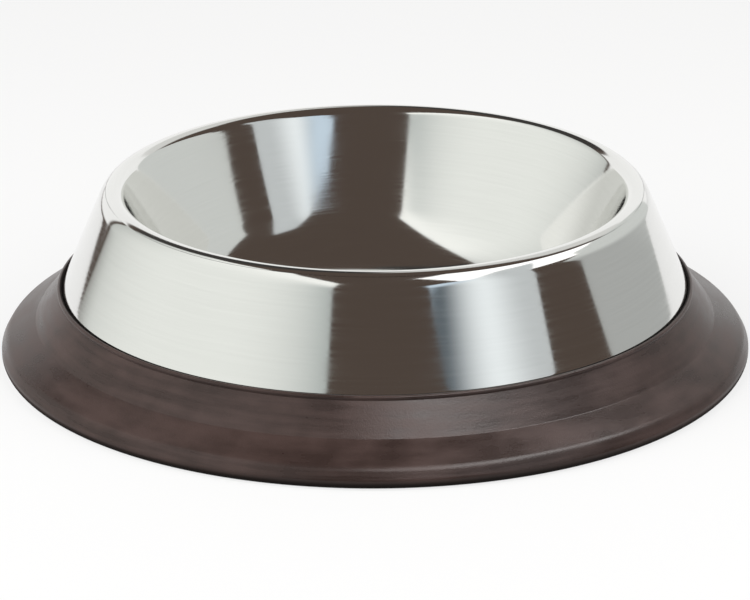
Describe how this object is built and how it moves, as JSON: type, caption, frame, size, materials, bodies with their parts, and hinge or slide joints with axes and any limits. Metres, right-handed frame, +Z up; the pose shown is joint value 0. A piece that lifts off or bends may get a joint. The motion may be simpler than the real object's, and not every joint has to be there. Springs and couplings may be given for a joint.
{
  "type": "non-tip dog bowl",
  "caption": "Round polished steel feeding bowl inside a flaring skirt that stands in a wide rubber ring, so it is hard to tip or slide; the bowl lifts out of the ring for washing.",
  "frame": {"origin": "on the ground, under the middle of the dish", "axes": "+Z up along the axis of the bowl; X and Y level and alike, because the bowl is round"},
  "size_m": [0.2546, 0.2546, 0.0573],
  "materials": {
    "liner_steel": "mirror polished stainless steel",
    "skirt_steel": "mirror polished stainless steel",
    "ring_rubber": "satin moulded dark brown-black rubber"
  },
  "bodies": {
    "ring": {"rubber_ring": "ring_rubber"},
    "bowl": {"bowl_liner": "liner_steel", "outer_skirt": "skirt_steel"}
  },
  "joints": [
    {"name": "bowl_lift", "type": "slide", "parent": "ring", "child": "bowl", "axis": [0, 0, 1], "range_m": [0, 0.08]}
  ]
}
